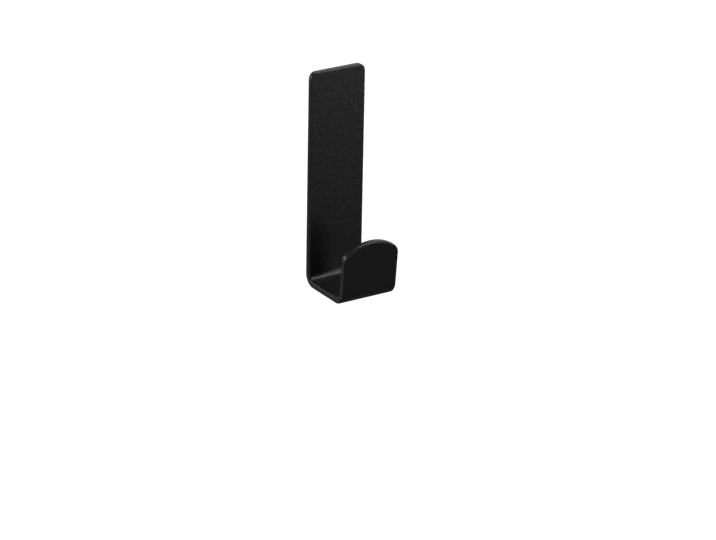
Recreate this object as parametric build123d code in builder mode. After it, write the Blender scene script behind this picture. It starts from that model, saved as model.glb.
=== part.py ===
"""Adhesive wall hook: one coated steel strip bent into a J, held to the wall by a foam tape pad.

Millimetres. +Z is up, the wall is the plane Y = 0 and the hook stands out from it towards -Y.
The origin is the centre of the pad's outer face, the face that is pressed on the wall.
"""

import os
from math import cos, radians, sin

from build123d import *

os.makedirs("parts", exist_ok=True)

# Driving dimensions of the strip, over its coating
strip_width = 20.0
strip_thickness = 2.2
edge_radius = 0.5

# Driving dimensions of the bent shape, to its outer faces
plate_height = 72.0
plate_corner_radius = 2.4
hook_depth = 22.0
rear_bend_inner_radius = 2.0
front_bend_inner_radius = 2.6

# Driving dimensions of the lip, measured along it from the floor's underside
lip_lean = 5.0
lip_length = 21.0
lip_arch_radius = 14.5
lip_corner_radius = 3.3

# Driving dimensions of the foam tape pad
pad_thickness = 1.0
pad_side_inset = 1.2
pad_end_inset = 1.9
pad_corner_radius = 2.0

# Length that is left on the lip's blank above its arch and then trimmed off
trim_allowance = 3.0

# The pad covers the flat of the plate's back, between the rear bend and the top edge
rear_bend_outer_radius = rear_bend_inner_radius + strip_thickness
front_bend_outer_radius = front_bend_inner_radius + strip_thickness
pad_width = strip_width - 2 * pad_side_inset
pad_height = plate_height - rear_bend_outer_radius - 2 * pad_end_inset

# Levels and depths of the strip's outer faces
plate_top = pad_height / 2 + pad_end_inset
floor_underside = plate_top - plate_height
plate_back = -pad_thickness
hook_front = plate_back - hook_depth

# The lip's own plane is its front face: X across the strip, Y up along the lip, Z out of its front
lip_direction = Vector(0, -sin(radians(lip_lean)), cos(radians(lip_lean)))
lip_plane = Plane(
    origin=(0, hook_front, floor_underside),
    x_dir=(1, 0, 0),
    z_dir=Vector(1, 0, 0).cross(lip_direction),
)
lip_blank_end = lip_plane.origin + lip_direction * (lip_length + trim_allowance)
lip_apex = lip_plane.origin + lip_direction * lip_length


def sharp_edges(part):
    """The edges whose two faces meet at an angle, which leaves out the tangent bend lines."""
    sharp = ShapeList()
    for edge in part.edges():
        middle = edge.position_at(0.5)
        first, second = [face.normal_at(middle) for face in part.faces() if edge in face.edges()]
        if first.get_angle(second) > 1.0:
            sharp.append(edge)
    return sharp


with BuildPart() as hook_body:
    # The strip seen from its side: outer faces down the back, along the floor and up the lip
    with BuildSketch(Plane.YZ):
        with BuildLine():
            FilletPolyline(
                (plate_back, plate_top),
                (plate_back, floor_underside),
                (hook_front, floor_underside),
                (lip_blank_end.Y, lip_blank_end.Z),
                radius=[rear_bend_outer_radius, front_bend_outer_radius],
            )
            offset(amount=strip_thickness, side=Side.RIGHT)
        make_face()
    extrude(amount=strip_width / 2, both=True)

    # The lip ends in a shallow arch
    with BuildSketch(lip_plane):
        with Locations((0, lip_length - lip_arch_radius)):
            Rectangle(
                strip_width + trim_allowance,
                lip_arch_radius + 2 * trim_allowance,
                align=(Align.CENTER, Align.MIN),
            )
            Circle(lip_arch_radius, mode=Mode.SUBTRACT)
    extrude(amount=2 * strip_thickness, both=True, mode=Mode.SUBTRACT)

    # Rounded corners at the two ends of the strip
    across_lip = hook_body.edges().filter_by(Axis(lip_apex, lip_plane.z_dir))
    fillet(across_lip.sort_by_distance(lip_apex)[:2], radius=lip_corner_radius)
    across_plate = hook_body.edges().filter_by(Axis.Y).group_by(Axis.Z)[-1]
    fillet(across_plate, radius=plate_corner_radius)

    # Eased edges all round both faces of the strip
    fillet(sharp_edges(hook_body.part), radius=edge_radius)
hook_body.part.label = "hook_body"

with BuildPart() as adhesive_pad:
    # Die-cut foam tape, its outer face on the wall and its inner face on the plate
    with BuildSketch(Plane.XZ):
        RectangleRounded(pad_width, pad_height, pad_corner_radius)
    extrude(amount=pad_thickness)
adhesive_pad.part.label = "adhesive_pad"

export_step(hook_body.part, "parts/hook_body.step")
export_step(adhesive_pad.part, "parts/adhesive_pad.step")
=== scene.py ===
"""Looks of the adhesive hook: a black powder coated steel strip with a foam tape pad on its back.

Metres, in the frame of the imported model: +Z up, the wall is the plane Y = 0, the hook stands out to -Y.
"""

import math

import bpy
from mathutils import Matrix, Vector


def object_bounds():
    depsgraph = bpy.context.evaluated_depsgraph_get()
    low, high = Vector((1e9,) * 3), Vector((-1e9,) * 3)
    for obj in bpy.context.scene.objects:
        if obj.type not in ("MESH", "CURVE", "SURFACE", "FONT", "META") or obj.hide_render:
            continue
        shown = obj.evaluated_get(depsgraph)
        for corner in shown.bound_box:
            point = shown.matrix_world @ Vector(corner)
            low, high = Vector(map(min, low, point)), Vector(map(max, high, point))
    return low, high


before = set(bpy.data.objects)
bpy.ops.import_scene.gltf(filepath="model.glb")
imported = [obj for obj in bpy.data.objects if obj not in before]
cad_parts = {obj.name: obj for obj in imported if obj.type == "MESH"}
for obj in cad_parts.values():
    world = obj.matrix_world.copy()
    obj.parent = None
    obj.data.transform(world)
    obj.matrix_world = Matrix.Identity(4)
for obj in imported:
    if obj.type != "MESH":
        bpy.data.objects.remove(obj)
cad_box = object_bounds()

MM = 0.001

# Camera, at the photograph's viewing angle
camera_azimuth = -33.05
camera_elevation = 22.76
camera_roll = 1.16
camera_distance = 1055.5 * MM
camera_aim = Vector((0.82, -15.14, -30.28)) * MM
sensor_width = 36.0
camera_lens = 167.3
camera_clip_start = 0.01
camera_clip_end = 100.0

# Plain colours
white = (1.0, 1.0, 1.0, 1.0)
black = (0.0, 0.0, 0.0, 1.0)

# Noise: how many finer layers it has, how strong they are, and where the middle of its range lies
plain_layers = 2.0
foam_layers = 3.0
layer_strength = 0.5
middle_low = 0.3
middle_high = 0.7

# Powder coat
coat_colour = (0.0020, 0.0020, 0.0021, 1.0)
coat_roughness = 0.36
coat_roughness_spread = 0.03
orange_peel_cell = 1.8 * MM
orange_peel_height = 0.065 * MM
grain_cell = 0.35 * MM
grain_height = 0.0012 * MM

# Foam tape
foam_colour = (0.058, 0.058, 0.060, 1.0)
foam_dark_colour = (0.026, 0.026, 0.028, 1.0)
foam_cell = 0.45 * MM
foam_cell_height = 0.06 * MM
adhesive_ripple = 3.5 * MM
adhesive_ripple_height = 0.07 * MM
foam_side_roughness = 0.75
adhesive_face_roughness = 0.42

# Floor, far enough below the hook for its shadow to be soft
floor_drop = 450 * MM
floor_side_reach = 4.0
floor_front = -600 * MM
floor_rear = 4.0
floor_colour = (0.80, 0.80, 0.80, 1.0)
floor_roughness = 0.9
floor_white_boost = 0.75

# Dark cards under the hook, which only reflections see, with outlines in millimetres. They are painted
# dark
# reflection: they keep the floor's white out of the coat's faces
card_drop = 200 * MM
reflection_shade_outlines = {
    "front_reflection_shade": [
        (-900, -450), (550, -450), (550, 120), (140, 120),
        (140, 205), (-150, 205), (-150, 750), (-900, 750),
    ],
    "rear_reflection_shade": [(-150, 320), (140, 320), (140, 750), (-150, 750)],
}
# The cards' own dim glow, which sets the level of the painted reflection in the coat
painted_reflection_level = 0.09

# Surroundings: a white sweep behind the hook, a dim room in front of it, and even fill for shading
sweep_direction = (0.545, 0.838, 0.0)
sweep_edge = 0.55
sweep_softness = 0.15
sweep_level = 0.85
room_level = 0.02
fill_level = 0.40

# Softboxes: name, azimuth, elevation, width and height in degrees as seen from the hook, radiance
softbox_distance = 900 * MM
softbox_centre = Vector((0, -12, -5)) * MM
softboxes = [
    ("left", -123, 14, 30, 12, 9.0),
    ("front", -9, 14, 26, 32, 1.3),
    ("low_left", -30, -18, 30, 30, 1.3),
    ("low_right", 36, -3, 12, 16, 4.5),
    ("right", 36, 25, 12, 24, 5.0),
    ("top", 52, 50, 17, 17, 7.2),
    ("side", 104, -13, 25, 19, 5.4),
    ("back", 165, 71, 22, 15, 11.0),
]


def direction(azimuth, elevation):
    """The unit vector from the hook towards a place seen at these angles, in degrees."""
    a, e = math.radians(azimuth), math.radians(elevation)
    return Vector((math.sin(a) * math.cos(e), -math.cos(a) * math.cos(e), math.sin(e)))


def make_camera():
    """The photograph's camera: it looks down on the hook from the front left, with a long lens."""
    back = direction(camera_azimuth, camera_elevation)
    level_right = Vector((0, 0, 1)).cross(back).normalized()
    turn = Matrix.Rotation(math.radians(camera_roll), 3, back)
    right = turn @ level_right
    up = back.cross(right)
    data = bpy.data.cameras.new("camera")
    data.sensor_width = sensor_width
    data.lens = camera_lens
    data.clip_start = camera_clip_start
    data.clip_end = camera_clip_end
    camera = bpy.data.objects.new("camera", data)
    axes = Matrix((right, up, back)).transposed().to_4x4()
    camera.matrix_world = Matrix.Translation(camera_aim + back * camera_distance) @ axes
    bpy.context.scene.collection.objects.link(camera)
    bpy.context.scene.camera = camera


def new_material(name):
    """An empty node material, with its nodes, links and Principled shader."""
    material = bpy.data.materials.new(name)
    material.use_nodes = True
    tree = material.node_tree
    return material, tree.nodes, tree.links, tree.nodes["Principled BSDF"]


def noise(nodes, links, place, cell, layers):
    """Noise with cells of about this size, in metres, and this many finer layers."""
    texture = nodes.new("ShaderNodeTexNoise")
    texture.inputs["Scale"].default_value = 1.0 / cell
    texture.inputs["Detail"].default_value = layers
    texture.inputs["Roughness"].default_value = layer_strength
    links.new(place, texture.inputs["Vector"])
    return texture.outputs["Fac"]


def bump(nodes, links, height, distance, below=None):
    """A bump of this height in metres, laid over another bump's normal if there is one."""
    node = nodes.new("ShaderNodeBump")
    node.inputs["Strength"].default_value = 1.0
    node.inputs["Distance"].default_value = distance
    links.new(height, node.inputs["Height"])
    if below is not None:
        links.new(below, node.inputs["Normal"])
    return node.outputs["Normal"]


def spread(nodes, links, value, low, high):
    """Takes the middle of a noise's range to a range of its own."""
    node = nodes.new("ShaderNodeMapRange")
    node.inputs["From Min"].default_value = middle_low
    node.inputs["From Max"].default_value = middle_high
    node.inputs["To Min"].default_value = low
    node.inputs["To Max"].default_value = high
    links.new(value, node.inputs["Value"])
    return node.outputs["Result"]


def powder_coat():
    """Satin black powder coat, with its soft orange peel and a fine grain."""
    material, nodes, links, shader = new_material("powder_coat")
    place = nodes.new("ShaderNodeTexCoord").outputs["Object"]
    peel = noise(nodes, links, place, orange_peel_cell, plain_layers)
    grain = noise(nodes, links, place, grain_cell, plain_layers)
    normal = bump(nodes, links, peel, orange_peel_height)
    normal = bump(nodes, links, grain, grain_height, normal)
    links.new(normal, shader.inputs["Normal"])
    low = coat_roughness - coat_roughness_spread
    high = coat_roughness + coat_roughness_spread
    links.new(spread(nodes, links, grain, low, high), shader.inputs["Roughness"])
    shader.inputs["Base Color"].default_value = coat_colour
    return material


def foam_tape():
    """Dark grey acrylic foam tape: an open grain at its cut sides, a smoother adhesive face."""
    material, nodes, links, shader = new_material("foam_tape_finish")
    place = nodes.new("ShaderNodeTexCoord").outputs["Object"]
    cells = noise(nodes, links, place, foam_cell, foam_layers)
    ripple = noise(nodes, links, place, adhesive_ripple, plain_layers)

    # The flat faces look along Y, and the cut sides don't
    facing = nodes.new("ShaderNodeSeparateXYZ")
    links.new(nodes.new("ShaderNodeNewGeometry").outputs["True Normal"], facing.inputs["Vector"])
    flat = nodes.new("ShaderNodeMath")
    flat.operation = "ABSOLUTE"
    links.new(facing.outputs["Y"], flat.inputs[0])

    normal = bump(nodes, links, ripple, adhesive_ripple_height)
    normal = bump(nodes, links, cells, foam_cell_height, normal)
    links.new(normal, shader.inputs["Normal"])
    gloss = nodes.new("ShaderNodeMapRange")
    gloss.inputs["To Min"].default_value = foam_side_roughness
    gloss.inputs["To Max"].default_value = adhesive_face_roughness
    links.new(flat.outputs["Value"], gloss.inputs["Value"])
    links.new(gloss.outputs["Result"], shader.inputs["Roughness"])

    tone = nodes.new("ShaderNodeMix")
    tone.data_type = "RGBA"
    tone.inputs["A"].default_value = foam_dark_colour
    tone.inputs["B"].default_value = foam_colour
    links.new(spread(nodes, links, cells, 0.0, 1.0), tone.inputs["Factor"])
    links.new(tone.outputs["Result"], shader.inputs["Base Color"])
    return material


def dress(node, material):
    """Gives a CAD node its material."""
    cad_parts[node].material_slots[0].material = material


def level_sheet(name, outline, level):
    """A level sheet with this outline, which is part of the studio and not of the hook."""
    mesh = bpy.data.meshes.new(name)
    mesh.from_pydata([(x, y, level) for x, y in outline], [], [tuple(range(len(outline)))])
    sheet = bpy.data.objects.new(name, mesh)
    bpy.context.scene.collection.objects.link(sheet)
    return sheet


def any_ray(nodes, links, *kinds):
    """1 where the ray is of one of these kinds, 0 elsewhere."""
    path = nodes.new("ShaderNodeLightPath")
    value = path.outputs[kinds[0]]
    for kind in kinds[1:]:
        either = nodes.new("ShaderNodeMath")
        either.operation = "MAXIMUM"
        links.new(value, either.inputs[0])
        links.new(path.outputs[kind], either.inputs[1])
        value = either.outputs["Value"]
    return value


def make_floor():
    """Plain pale floor: it takes shadows, and shows white to the camera, in gloss and through glass."""
    left, right = -floor_side_reach, floor_side_reach
    outline = [(left, floor_front), (right, floor_front), (right, floor_rear), (left, floor_rear)]
    sheet = level_sheet("floor", outline, cad_box[0].z - floor_drop)
    material, nodes, links, shader = new_material("floor")
    shader.inputs["Base Color"].default_value = floor_colour
    shader.inputs["Roughness"].default_value = floor_roughness
    shader.inputs["Specular IOR Level"].default_value = 0.0
    shader.inputs["Emission Color"].default_value = white
    seen = any_ray(nodes, links, "Is Camera Ray", "Is Glossy Ray", "Is Transmission Ray")
    boost = nodes.new("ShaderNodeMath")
    boost.operation = "MULTIPLY"
    boost.inputs[1].default_value = floor_white_boost
    links.new(seen, boost.inputs[0])
    links.new(boost.outputs["Value"], shader.inputs["Emission Strength"])
    sheet.data.materials.append(material)


def make_reflection_shade_cards():
    """The dark cards under the hook, which only reflections see: painted dark reflection in the coat's
    faces.
    """
    material, _, _, shader = new_material("card")
    shader.inputs["Base Color"].default_value = black
    shader.inputs["Specular IOR Level"].default_value = 0.0
    # A dim glow from a sheet that is no lamp: painted reflection, seen only in gloss
    shader.inputs["Emission Color"].default_value = white
    shader.inputs["Emission Strength"].default_value = painted_reflection_level
    for name, outline in reflection_shade_outlines.items():
        sheet = level_sheet(name, [(x * MM, y * MM) for x, y in outline], softbox_centre.z - card_drop)
        sheet.visible_camera = False
        sheet.visible_diffuse = False
        sheet.visible_shadow = False
        sheet.visible_transmission = False
        sheet.data.materials.append(material)


def make_world():
    """White for the camera, the sweep and the dim room for reflections, and even fill for shading."""
    world = bpy.data.worlds.new("world")
    world.use_nodes = True
    nodes, links = world.node_tree.nodes, world.node_tree.links
    background = nodes["Background"]
    background.inputs["Color"].default_value = white

    towards = nodes.new("ShaderNodeVectorMath")
    towards.operation = "DOT_PRODUCT"
    towards.inputs[1].default_value = sweep_direction
    links.new(nodes.new("ShaderNodeTexCoord").outputs["Generated"], towards.inputs[0])
    sweep = nodes.new("ShaderNodeMapRange")
    sweep.interpolation_type = "SMOOTHSTEP"
    sweep.inputs["From Min"].default_value = sweep_edge - sweep_softness
    sweep.inputs["From Max"].default_value = sweep_edge + sweep_softness
    sweep.inputs["To Min"].default_value = room_level
    sweep.inputs["To Max"].default_value = sweep_level
    links.new(towards.outputs["Value"], sweep.inputs["Value"])

    reflected = nodes.new("ShaderNodeMix")
    reflected.inputs["A"].default_value = fill_level
    links.new(any_ray(nodes, links, "Is Glossy Ray", "Is Transmission Ray"), reflected.inputs["Factor"])
    links.new(sweep.outputs["Result"], reflected.inputs["B"])
    seen = nodes.new("ShaderNodeMix")
    seen.inputs["B"].default_value = 1.0
    links.new(any_ray(nodes, links, "Is Camera Ray"), seen.inputs["Factor"])
    links.new(reflected.outputs["Result"], seen.inputs["A"])
    links.new(seen.outputs["Result"], background.inputs["Strength"])
    bpy.context.scene.world = world


def make_softbox(name, azimuth, elevation, width, height, radiance):
    """A softbox that faces the hook, given by how large and how bright it looks from there."""
    light = bpy.data.lights.new(name, "AREA")
    light.shape = "RECTANGLE"
    light.size = 2 * softbox_distance * math.tan(math.radians(width / 2))
    light.size_y = 2 * softbox_distance * math.tan(math.radians(height / 2))
    light.energy = radiance * math.pi * light.size * light.size_y
    lamp = bpy.data.objects.new(name, light)
    back = direction(azimuth, elevation)
    right = Vector((0, 0, 1)).cross(back).normalized()
    axes = Matrix((right, back.cross(right), back)).transposed().to_4x4()
    lamp.matrix_world = Matrix.Translation(softbox_centre + back * softbox_distance) @ axes
    lamp.visible_camera = False
    bpy.context.scene.collection.objects.link(lamp)


make_camera()
dress("hook_body", powder_coat())
dress("adhesive_pad", foam_tape())
make_floor()
make_reflection_shade_cards()
make_world()
for softbox in softboxes:
    make_softbox(*softbox)

bpy.context.scene.view_settings.view_transform = "Standard"
